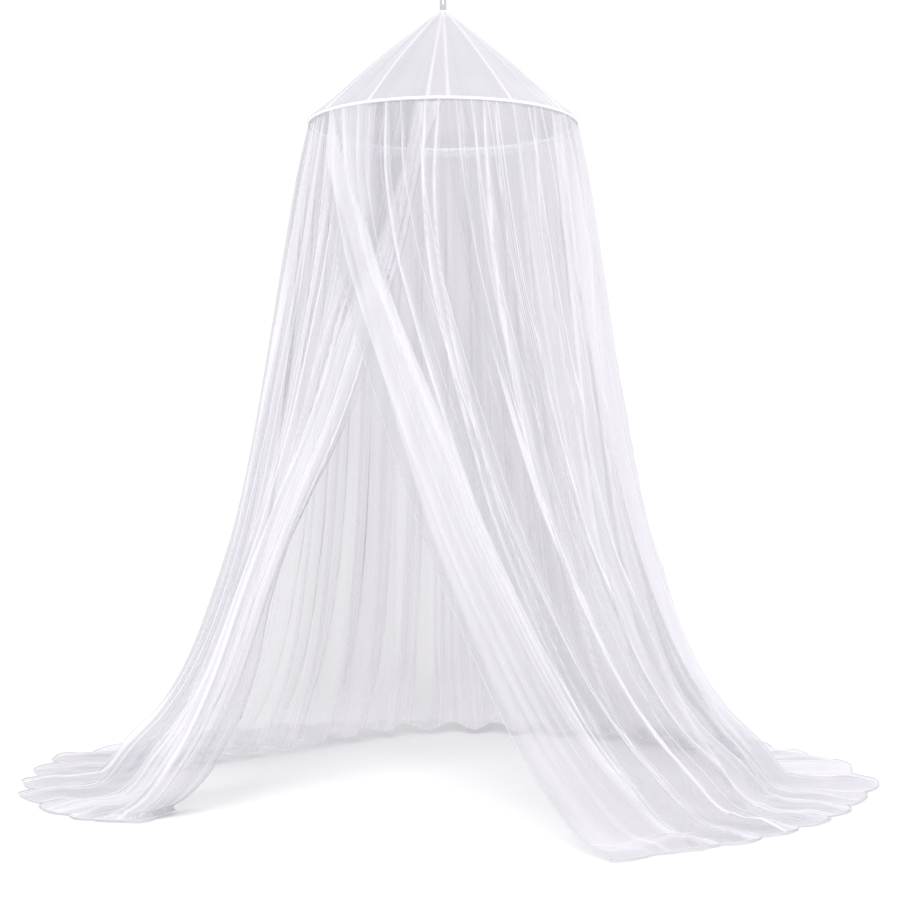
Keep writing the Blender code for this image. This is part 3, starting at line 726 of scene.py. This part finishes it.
def crease_fields(across, down):
    """Return how far the pinched folds push the cloth out, and how many layers they add.

    Each one is a bell curve across the cloth, centred on a line that drifts as it goes down, with
    a wider and weaker tail of layers on one side, where the cloth lies over.
    """
    push, layers = np.zeros(across.shape), np.zeros(across.shape)
    r = np.minimum(down[:, :1], 10.0)
    for row in np.vstack((np.array(CREASES), small_creases())):
        crease = dict(zip(CREASE_COLUMNS, row))
        path = np.array([crease["top"], crease["middle"], crease["foot"]])
        centre = smooth_curve(r, np.array([0.0, 5.0, 10.0]), path)
        centre = centre + 0.02 * np.sin(0.9 * r + 7.0 * crease["top"])
        shown = between(down, (crease["first"] - 0.8, crease["first"] + 0.8),
                        (crease["last"] - 1.0, crease["last"] + 1.0))
        away = (across - centre) / (CREASE_NARROWING * crease["width"])
        bell = np.exp(-away * away) * shown
        tail = np.where(away > 0.0, 0.35 * np.exp(-(away / 4.0) ** 2), 0.0) * shown
        push += crease["push"] * bell
        layers += CREASE_DENSITY * crease["layers"] * np.maximum(bell, tail)
    return push, layers


print(len(CREASES), "pinched folds by hand and", SMALL_CREASES, "by chance")

# %% [markdown]
# ### Where the net is dense
#
# The same net looks thin in one place and almost solid in another. Where an edge is drawn aside,
# the cloth bunches into a dense band. Just under the hoop at the back the gathers lie so close that
# the inside looks solid. A bunch can't be modelled thread by thread, so each point of the cloth
# stores two numbers for the material: how many layers of net lie there, and painted light and
# shade, how fast it whitens with each of them: faster at the sides, on the flap's top and at the
# back's foot, slower at the back and on the floor. Every part of the curtain adds its own number,
# faded in and out with `ease` and `between`.

# %% Layers and painted light and shade of the net
# Parts of the curtain in folds u or rows r: where each fades in, and where it fades out
BACK = ((10.5, 13.0), (20.5, 23.0))
RIGHT_SIDE = ((5.5, 7.5), (10.5, 12.5))
LEFT_SIDE = ((22.0, 24.5), (25.0, 27.0))
SIDE_BAND = ((5.9, 6.5), (8.2, 8.9))
SIDE_BAND_ROWS = ((0.3, 1.5), (6.5, 9.0))
FLAP_BEHIND = ((0.9, 1.3), (3.0, 4.0))      # stretch of the wing that the left flap lies behind
LYING_DOWN = (8.0, 10.0)
ABOVE_CROSSING = (2.0, 3.0)
HEADING = (0.0, 0.13)   # the closely gathered strip below the casing
# How many layers each part adds, and by how much painted light or shade makes each part brighter or duller
ADDS = {"plain": 0.85, "side band": 1.2, "back": 1.3, "heading": 8.0, "wing": 2.1, "flap": 1.7,
        "flap above": 3.5, "flap below": -0.9, "shoulder": 1.2, "selvedge": 0.9, "lying": 0.8,
        "over the flap": -0.4}
PAINTED_LIGHT_BY_PART = {"plain": 1.0, "flap above": 1.5, "sides": 0.8, "back": -0.6, "back low": 0.3,
       "back foot": 0.5, "lying": -0.55, "lying right": 0.15}
# The dense band of the right wing, row by row: r, and u of its left and right limit
WING_BAND = np.array([(0.0, -0.30, 0.10), (1.1, 0.12, 0.60), (1.7, 0.36, 0.95), (2.2, 0.42, 1.05),
                      (3.0, 0.35, 1.20), (4.0, 0.25, 1.35), (7.0, 0.10, 1.10), (12.0, 0.0, 0.9)]).T


def flap_band(across, down):
    """Return 1 on the dense band along the left flap's edge; its inner side drifts as it goes down."""
    inner_side = 30.3 - 0.62 * np.clip(down - 0.8, 0.0, 5.5)
    return ease(across, inner_side - 0.2, inner_side + 0.3)


def net_layers(across, down, creased):
    """Return how many layers of net each point shows: one sum over the parts of the curtain."""
    back, heading = between(across, *BACK), 1.0 - ease(down, *HEADING)
    lying = ease(down, *LYING_DOWN)
    side_band = between(across, *SIDE_BAND) * between(down, *SIDE_BAND_ROWS)
    wing_left = smooth_curve(down, WING_BAND[0], WING_BAND[1])
    wing_right = smooth_curve(down, WING_BAND[0], WING_BAND[2])
    wing = between(across, (wing_left - 0.06, wing_left + 0.06), (wing_right - 0.04, wing_right + 0.04))
    selvedge = 1.0 - ease(across, wing_left - 0.10, wing_left + 0.05)
    shoulder = (between(across, (wing_right - 0.04, wing_right + 0.10), (1.2, 1.7))
                * (1.0 - ease(down, 1.4, 2.1)))
    flap = flap_band(across, down)
    calm = (1.0 - 0.62 * ease(down, 2.5, 6.5)) * (1.0 - 0.5 * lying)

    layers = ADDS["plain"] + creased * calm * (1.0 - 0.5 * side_band)
    layers += ADDS["side band"] * side_band
    layers += ADDS["back"] * (back * (1.0 - heading)) * (1.0 - ease(down, 9.2, 10.6))
    layers += ADDS["heading"] * back * heading
    layers += ADDS["wing"] * wing * (1.0 - 0.7 * ease(down, 4.0, 9.0))
    layers += flap * (ADDS["flap"] + ADDS["flap above"] * (1.0 - ease(down, *ABOVE_CROSSING))
                      + ADDS["flap below"] * ease(down, 5.0, 8.0))
    layers += ADDS["shoulder"] * shoulder
    layers += ADDS["selvedge"] * selvedge * (1.0 - lying)
    layers += ADDS["lying"] * lying
    layers += ADDS["over the flap"] * (between(across, *FLAP_BEHIND) * (1.0 - ease(down, 2.4, 3.2)))
    return layers


def painted_light_and_shade(across, down):
    """Return painted light and shade, as how fast each point whitens with its layers: 1, more at the sides,
    less at the back.
    """
    back, lying = between(across, *BACK), ease(down, *LYING_DOWN)
    hanging_back = back * ease(down, *HEADING)
    sides = between(across, *RIGHT_SIDE) + between(across, *LEFT_SIDE)
    on_right = 1.0 - ease(across, 9.0, 11.0)
    painted_light = (PAINTED_LIGHT_BY_PART["plain"]
           + PAINTED_LIGHT_BY_PART["flap above"] * flap_band(across, down) * (1.0 - ease(down, *ABOVE_CROSSING)))
    painted_light += PAINTED_LIGHT_BY_PART["sides"] * sides * (1.0 - lying)
    painted_light += hanging_back * (PAINTED_LIGHT_BY_PART["back low"] * ease(down, 7.5, 9.2)
                           + PAINTED_LIGHT_BY_PART["back foot"] * ease(down, 9.1, 9.9) + PAINTED_LIGHT_BY_PART["back"])
    painted_light += (PAINTED_LIGHT_BY_PART["lying"] + PAINTED_LIGHT_BY_PART["lying right"] * on_right) * lying * (1.0 - back)
    return painted_light


print("the back runs over folds", BACK[0][0], "to", BACK[1][1])

# %% [markdown]
# ### Hang the curtain
#
# The height of the cloth follows its own rule. Down to the floor it falls in proportion to the
# share of its height. There it would bend at once, which cloth doesn't do, so the fall and the
# floor are joined by `(fall + hypot(fall, TURN_ROUND)) / 2`, a curve that comes close to both.

# %% Make the curtain
CORNER_FLATTENING = 0.85    # share of its lift that the flap's corner on the floor loses
QUIET_EDGE = 0.35           # folds over which the pleats come in from a free edge
QUIET_SHARE = 0.35          # share of their depth that they have at the edge itself
RIPPLE, SMALL_RIPPLE = 0.006, 0.003     # height of the waves in the cloth on the floor
RIPPLED = (9.0, 10.5)       # rows over which they come in


def cloth_height(u, r):
    """Return z: floor + rounded fall + lift of the lying crests + ripples of the lying cloth."""
    last = len(FOLDS) - 1.0
    across, down = np.broadcast_arrays(u[None, :], r)
    height, lying = row_value("height", r), row_value("lying", r)
    top = HOOP_HEIGHT - SLEEVE_DEPTH + TUCK - DROP
    crest = (1.0 + np.cos(2.0 * math.pi * across)) / 2.0
    flat_end = 1.0 - CORNER_FLATTENING * ease(u, last - 1.0, last - 0.2)[None, :]
    lift = row_value("lift", r) * fold_value("deep", u)[None, :] * crest * flat_end
    ripple = ease(r, *RIPPLED) * (RIPPLE + RIPPLE * field("ripple", across, down)
                                  + SMALL_RIPPLE * field("small ripple", across, down))
    ripple = ripple * (1.0 - 0.75 * ease(r, 11.0, 12.0)) * flat_end
    fall = (top + DROP - SURFACE_LIFT) * height - TURN_SLOPE * fold_value("lay", u)[None, :] * lying
    fall = (fall + np.hypot(fall, TURN_ROUND * (1.0 - height))) / 2.0
    return -DROP + SURFACE_LIFT + fall + lift + np.maximum(ripple, 0.0)


def hang_curtain():
    """Return the curtain's points as rows by columns by 3, with its layers and its painted light and shade.

    Point = crest line - outward normal * (folds - pinch); the normal is square to the crest line.
    """
    last = len(FOLDS) - 1.0
    u = np.linspace(0.0, last, int(last) * COLUMNS_PER_FOLD + 1)
    rows = len(ROWS) - 1
    r = np.linspace(0.0, rows, rows * STEPS_PER_ROW + 1)[:, None]
    x, y = crest_points(u, row_value("height", r), row_value("lying", r))
    along_x, along_y = np.gradient(x, axis=1), np.gradient(y, axis=1)
    size = np.hypot(along_x, along_y)
    out_x, out_y = along_y / size, -along_x / size
    across, down = np.broadcast_arrays(u[None, :], r)
    pinch, creased = crease_fields(across, down)
    push = fold_push(u, r, size) - pinch * ease(r, 0.0, 1.5)
    quiet = ease(u, 0.0, QUIET_EDGE) * (1.0 - ease(u, last - QUIET_EDGE, last))
    push = push * (QUIET_SHARE + (1.0 - QUIET_SHARE) * quiet)[None, :]
    points = np.stack((x - out_x * push, y - out_y * push, cloth_height(u, r)), axis=-1)
    return points, net_layers(across, down, creased), painted_light_and_shade(across, down)


def cloth_uv(points):
    """Return each point's place on the cloth: length across half way down, and mean length down."""
    middle = len(points) // 2
    return flat_places(length_along(points[middle])[None, :], length_along(points).mean(axis=1)[:, None])


points, cloth_layers, cloth_painted_light = hang_curtain()
skirt = make_mesh("net_curtain", points, grid_faces(points.shape[0], points.shape[1], False)[:, ::-1],
                  NET, cloth_uv(points))
paint(skirt, "layers", cloth_layers)
paint(skirt, "painted_light", cloth_painted_light)
hem_length = float(length_along(points[-1])[-1])
print("curtain:", points.shape, "area", round(mesh_area(skirt), 2), "hem", round(hem_length, 2))

# %% [markdown]
# ### The rolled hem
#
# The edge of a net is rolled over twice and stitched, so that it doesn't fray. The roll is dense,
# and it shows as a thin line round the scallops on the floor and down both free edges. It is made
# as a narrow tube along the border of the curtain.

# %% Make the rolled hem
HEM_RADIUS = 0.0017
EDGE_RADIUS = 0.0012
ROLL_SIDES = 6
HEM_LIFT = 0.0002       # floor to the underside of the roll at its lowest
border = points[-1] + np.array([0.0, 0.0, HEM_RADIUS - SURFACE_LIFT + HEM_LIFT])
hem = make_tube("hem_roll", border, HEM_RADIUS, ROLL_SIDES, HEM_CLOTH)
front_edge = make_tube("front_edge_roll", points[:, 0], EDGE_RADIUS, ROLL_SIDES, HEM_CLOTH)
back_edge = make_tube("back_edge_roll", points[:, -1], EDGE_RADIUS, ROLL_SIDES, HEM_CLOTH)
print("hem roll:", round(hem_length, 2), "m")

# %% [markdown]
# ## The roof
#
# The roof is cut as a cone and pulled taut between the hoop and the loop. Taut cloth between two
# seam lines is flat, so each facet is a plane, and the seams stand out as ridges. Near the hoop
# the facets round off, because there the rod holds the cloth in a circle.

# %% Make the roof
ROOF_ANGLES = np.arange(0.0, 360.0, 0.5)
ROOF_ROWS_COUNT = 49
ROOF_SLANT = 0.55       # length of the roof's slope
ROOF_ROUND = 2.66       # length of its edge at the hoop
BIG_FOLD, SMALL_FOLD = 0.0035, 0.0012   # how far the taut cloth still wavers
ROOF_LAYERS = 1.25      # layers of net anywhere on the roof, and what the next places add
SEAM_LAYERS, TOP_LAYERS, BACK_RIM_LAYERS = 1.4, 0.6, 1.2
ROOF_PAINTED_LIGHT, ROOF_PAINTED_LIGHT_RIGHT = 0.6, 0.15    # painted light: how fast the roof whitens in the middle, and more to the right


def facet_pull(angle):
    """Return the share of the radius that a flat facet between two seams keeps at each angle."""
    seams = np.array(ROOF_SEAMS + (ROOF_SEAMS[0] + 360.0,))
    turned = (angle - seams[0]) % 360.0 + seams[0]
    cell = np.clip(np.searchsorted(seams, turned, side="right") - 1, 0, len(seams) - 2)
    middle = (seams[cell] + seams[cell + 1]) / 2
    half = (seams[cell + 1] - seams[cell]) / 2
    return np.cos(np.radians(half)) / np.cos(np.radians(turned - middle))


def roof_points():
    """Return the roof's points: radius falls from the hoop to the top, pulled flat between seams."""
    angle = ROOF_ANGLES[None, :]
    share = np.linspace(0.0, 1.0, ROOF_ROWS_COUNT)[:, None]
    foot = HOOP_HEIGHT + SLEEVE_BORE + SLEEVE_WALL - ROOF_EDGE_DROP - DROP
    top = TAB_FOOT - SEAT - DROP
    radius = ROOF_RIM_RADIUS + (ROOF_TOP_RADIUS - ROOF_RIM_RADIUS) * share
    radius = radius + ROOF_BULGE * np.sin(math.pi * share)
    flat = ease(share, 0.0, ROOF_FLAT_FROM)
    radius = radius * (1.0 + (facet_pull(angle) - 1.0) * flat)
    across, down = np.broadcast_arrays(angle / 9.0, share * 2.0)
    folds = uneven(across, down, 71) * BIG_FOLD + uneven(across * 3.0, down, 72) * SMALL_FOLD
    held = np.sin(math.pi * share) ** 0.5
    radius = radius + folds * held * (0.4 + 0.6 * (1.0 - share))
    x, y = round_axis(np.radians(angle), radius)
    z = np.broadcast_to(foot + (top - foot) * share, x.shape)
    return np.stack((x, y, z), axis=-1)


def roof_layers():
    """Return how many layers of net each point of the roof shows.

    The seams add most. They widen and thin out on the way up to the point, where the cloth is
    gathered. The strip along the rim is set denser at the back, so that it shows through the front.
    """
    share = np.linspace(0.0, 1.0, ROOF_ROWS_COUNT)[:, None]
    to_seams = (ROOF_ANGLES[:, None] - np.array(ROOF_SEAMS)[None, :] + 180.0) % 360.0 - 180.0
    to_seam = np.abs(to_seams).min(axis=1)[None, :]
    back = ease(-np.cos(np.radians(ROOF_ANGLES)), 0.0, 0.4)[None, :]
    seam_width = 0.7 + 5.0 * share**4
    seams = SEAM_LAYERS * np.exp(-(to_seam / seam_width) ** 2) * (1.0 - 0.7 * share)
    back_rim = BACK_RIM_LAYERS * (1.0 - ease(share, 0.0, 0.16)) * back
    return ROOF_LAYERS + seams + TOP_LAYERS * ease(share, 0.85, 1.0) + back_rim


cone = roof_points()
rows, columns, _ = cone.shape
roof_uv = flat_places(np.linspace(0.0, ROOF_ROUND, columns)[None, :],
                      np.linspace(0.0, ROOF_SLANT, rows)[:, None])
roof = make_mesh("net_roof", cone, grid_faces(rows, columns, True), ROOF_NET, roof_uv)
# Painted light: the roof is set a little brighter on its right.
roof_painted_light = ROOF_PAINTED_LIGHT + ROOF_PAINTED_LIGHT_RIGHT * np.sin(np.radians(ROOF_ANGLES))
paint(roof, "layers", roof_layers())
paint(roof, "painted_light", np.tile(roof_painted_light, rows))
print("roof:", cone.shape, "area", round(mesh_area(roof), 2))

# %% [markdown]
# ## Hoop and casing
#
# The rod is a plain ring. The casing is a strip of binding that wraps the rod and closes below it,
# where the curtain's gathers are sewn in. Both are one small section, turned round the axis.

# %% Make the hoop and its casing
RING_STEPS = 240
LEAF_INSIDE, LEAF_OUTSIDE = 0.0004, 0.0014  # middle of the slit to the two sides of a leaf
CASING_WAVE = 0.0003    # how far the leaves waver


def make_ring(name, section, material, ripple):
    """Turn a closed section, as (outwards, upwards) from the rod's middle, round the axis.

    ripple: how far its foot wavers outwards and inwards
    """
    turn = np.linspace(0.0, 2.0 * math.pi, RING_STEPS, endpoint=False)[:, None]
    section = np.asarray(section)
    outwards, upwards = section[:, 0][None, :], section[:, 1][None, :]
    wave = ripple * (np.sin(turn * 57.0) + 0.6 * np.sin(turn * 91.0 + 1.0))
    radius = HOOP_RADIUS + outwards + wave * ease(-upwards, 0.004, 0.016)
    x, y = round_axis(turn, radius)
    z = np.broadcast_to(HOOP_HEIGHT - DROP + upwards, x.shape)
    ring_points = np.stack((x, y, z), axis=-1)
    uv = flat_places(turn * HOOP_RADIUS, length_along(section)[None, :])
    return make_mesh(name, ring_points, ring_faces(RING_STEPS, len(section)), material, uv)


def arc(radius, first, last, steps):
    """Return points on a circle round the rod's middle, from the first to the last angle."""
    angles = np.radians(np.linspace(first, last, steps))
    return np.stack((radius * np.cos(angles), radius * np.sin(angles)), axis=-1)


rod = make_ring("hoop_rod", arc(ROD_RADIUS, 0.0, 330.0, 12), ROD, 0.0)
outer = arc(SLEEVE_BORE + SLEEVE_WALL, -50.0, 230.0, 17)
inner = arc(SLEEVE_BORE, 245.0, -65.0, 15)
casing_section = np.vstack((outer, [(-LEAF_OUTSIDE, -SLEEVE_DEPTH), (-LEAF_INSIDE, -SLEEVE_DEPTH)],
                            inner, [(LEAF_INSIDE, -SLEEVE_DEPTH), (LEAF_OUTSIDE, -SLEEVE_DEPTH)]))
casing = make_ring("hoop_casing", casing_section, CASING, CASING_WAVE)
print("rod and casing:", len(rod.data.polygons), len(casing.data.polygons), "faces")

# %% [markdown]
# ## Hanging loop
#
# The loop is one folded tape: its two strands come out of a stitched tab and close over the place
# where the hook goes. The slot and the tape's outer side are two outlines of matching points, and
# the tape's section, with its edges a little rounded, is laid between them.

# %% Make the hanging loop
ARCH_STEPS, STRAND_STEPS = 14, 8
EDGE_THINNING = 0.0006  # how far the tape thins on each face at its edges
EDGE_SHARE = 0.12       # share of the tape's width over which it thins
TAPE_ROUND = 0.14       # length of the tape once round the loop


def loop_outlines():
    """Return the loop's inner and outer outline as matching (x, z) points: strands, arch and tab."""
    over = np.radians(np.linspace(0.0, 180.0, ARCH_STEPS + 1))
    under = np.radians(np.linspace(180.0, 360.0, ARCH_STEPS + 1))
    tab_height = -SLOT_LENGTH + SLOT_RADIUS - (TAB_FOOT - DROP)
    wide = SLOT_RADIUS + TAPE_WIDTH
    straight = SLOT_LENGTH - 2.0 * SLOT_RADIUS
    slot_foot = -SLOT_RADIUS - straight
    part = np.arange(1, STRAND_STEPS) / STRAND_STEPS
    level = -SLOT_RADIUS - straight * part
    width = wide + (TAB_HALF_WIDTH - wide) * part
    across = np.clip(math.sqrt(2.0) * np.cos(under), -1.0, 1.0)
    below = np.clip(math.sqrt(2.0) * np.sin(under), -1.0, 0.0)
    inner_x = np.concatenate((SLOT_RADIUS * np.cos(over), -SLOT_RADIUS + 0.0 * part,
                              SLOT_RADIUS * np.cos(under), SLOT_RADIUS + 0.0 * part))
    inner_z = np.concatenate((SLOT_RADIUS * np.sin(over) - SLOT_RADIUS, level,
                              SLOT_RADIUS * np.sin(under) + slot_foot, level[::-1]))
    outer_x = np.concatenate((wide * np.cos(over), -width, TAB_HALF_WIDTH * across, width[::-1]))
    outer_z = np.concatenate((wide * np.sin(over) - SLOT_RADIUS, level,
                              slot_foot + tab_height * below, level[::-1]))
    return inner_x, inner_z, outer_x, outer_z


def tape_section():
    """Return the tape's section: rows of (share of its width from the outer side, y)."""
    face = TAPE_THICKNESS / 2
    edge = face - EDGE_THINNING
    front = [(0.0, -edge), (EDGE_SHARE, -face), (1.0 - EDGE_SHARE, -face), (1.0, -edge)]
    return front + [(share, -y) for share, y in reversed(front)]


inner_x, inner_z, outer_x, outer_z = loop_outlines()
section = tape_section()
loop_points = np.stack([np.stack((outer_x + (inner_x - outer_x) * share,
                                  np.full_like(outer_x, y),
                                  outer_z + (inner_z - outer_z) * share), axis=-1)
                        for share, y in section])
across_tape = np.array([share * TAPE_WIDTH for share, _ in section])[:, None]
round_loop = np.linspace(0.0, TAPE_ROUND, len(outer_x))[None, :]
loop = make_mesh("tape_loop", loop_points, ring_faces(len(section), len(outer_x)), TAPE,
                 flat_places(across_tape, round_loop))
print("loop:", len(loop.data.polygons), "faces")

# %% [markdown]
# ## Put the pieces on the frame
#
# Each piece rides on the one body and stands for its CAD node.

for piece in (skirt, hem, front_edge, back_edge, roof, rod, casing, loop):
    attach(piece, "root")
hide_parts("skirt")
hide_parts("roof_cone")
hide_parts("hoop")
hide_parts("hoop_sleeve")
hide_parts("hanging_loop")
print("all five nodes have their dressed piece")

# %% [markdown]
# ## Floor and light
#
# White cloth on a white ground needs very soft, even light: the folds then show by how densely the
# net is layered. A broad key light from above the viewer, a little to the left, gives the crests
# their bright side. The floor is painted a little paler under the canopy: a painted pool of light.

# %% Floor and light
FLOOR_SIDE = 400.0          # middle of the floor to its sides, so that no side shows
FLOOR_TINT = (0.72, 0.73)   # its uneven grey, from and to
FLOOR_GRAIN = 3.0           # patches to the metre
PAINTED_LIGHT_UNDER = 1.11          # painted light: how much paler the floor is painted under the canopy
PAINTED_LIGHT_REACH = (0.8, 2.0)    # distance from the axis over which that ends
SKY_COLOUR = (0.992, 0.984, 1.0, 1.0)
SKY_STRENGTH = 1.1
KEY_STRENGTH = 2.0
KEY_WIDTH = 30.0            # degrees of sky that the key light fills
KEY_TILT, KEY_TURN = 47.0, -12.0    # degrees from straight down, and to the left
LAYERS_DEEP = 48            # how many layers of net light may pass


def make_floor():
    """Make the pale floor, with a painted pool of light under the canopy."""
    side = FLOOR_SIDE
    corners = [(-side, -side, -DROP), (side, -side, -DROP), (side, side, -DROP), (-side, side, -DROP)]
    material, tree = new_material("floor")
    place = object_place(tree)
    grain = node(tree, "ShaderNodeTexNoise", {"Vector": place, "Scale": FLOOR_GRAIN}).outputs["Fac"]
    tint = ramp(tree, grain, 0.0, 1.0, *FLOOR_TINT, "LINEAR")
    flat = node(tree, "ShaderNodeVectorMath", {0: place, 1: (1.0, 1.0, 0.0)},
                operation="MULTIPLY").outputs[0]
    away = node(tree, "ShaderNodeVectorMath", {0: flat}, operation="LENGTH").outputs["Value"]
    painted_pool = ramp(tree, away, *PAINTED_LIGHT_REACH, PAINTED_LIGHT_UNDER, 1.0)
    finish_material(tree, node(tree, "ShaderNodeBsdfDiffuse",
                               {"Color": math_node(tree, "MULTIPLY", tint, painted_pool)}))
    return make_mesh("floor", corners, [(0, 1, 2, 3)], material)


make_floor()
world = bpy.data.worlds.new("studio")
scene.world = world
world.use_nodes = True
sky = world.node_tree.nodes["Background"]
sky.inputs["Color"].default_value = SKY_COLOUR
sky.inputs["Strength"].default_value = SKY_STRENGTH
sun = bpy.data.lights.new("key", "SUN")
sun.energy = KEY_STRENGTH
sun.angle = math.radians(KEY_WIDTH)
key = bpy.data.objects.new("key", sun)
key.rotation_euler = (math.radians(KEY_TILT), 0.0, math.radians(KEY_TURN))
scene.collection.objects.link(key)
scene.view_settings.view_transform = "Standard"
scene.cycles.transparent_max_bounces = LAYERS_DEEP
print("floor, sky and key light are set")

# %% [markdown]
# ## Camera
#
# Something `s` metres wide at a distance `d` comes out `FOCAL_PIXELS * s / d` pixels wide. The
# camera is level, so that upright lines stay upright, and two small shifts slide the view instead.

# %% Camera
CAMERA_AWAY = 5.4
CAMERA_HEIGHT = 1.0
FRAME_PIXELS = 900.0
FOCAL_PIXELS = 1726.0
SHIFT_PIXELS = (7.0, 11.0)  # of the view, to the right and up
SENSOR_WIDTH = 36.0         # in millimetres, like the focal length
camera_data = bpy.data.cameras.new("camera")
camera_data.sensor_width = SENSOR_WIDTH
camera_data.lens = SENSOR_WIDTH * FOCAL_PIXELS / FRAME_PIXELS
camera_data.shift_x = SHIFT_PIXELS[0] / FRAME_PIXELS
camera_data.shift_y = SHIFT_PIXELS[1] / FRAME_PIXELS
camera = bpy.data.objects.new("camera", camera_data)
camera.location = (0.0, -CAMERA_AWAY, CAMERA_HEIGHT - DROP)
camera.rotation_euler = (math.pi / 2, 0.0, 0.0)
scene.collection.objects.link(camera)
scene.camera = camera
print("camera is", CAMERA_AWAY, "m in front and", CAMERA_HEIGHT, "m above the floor")
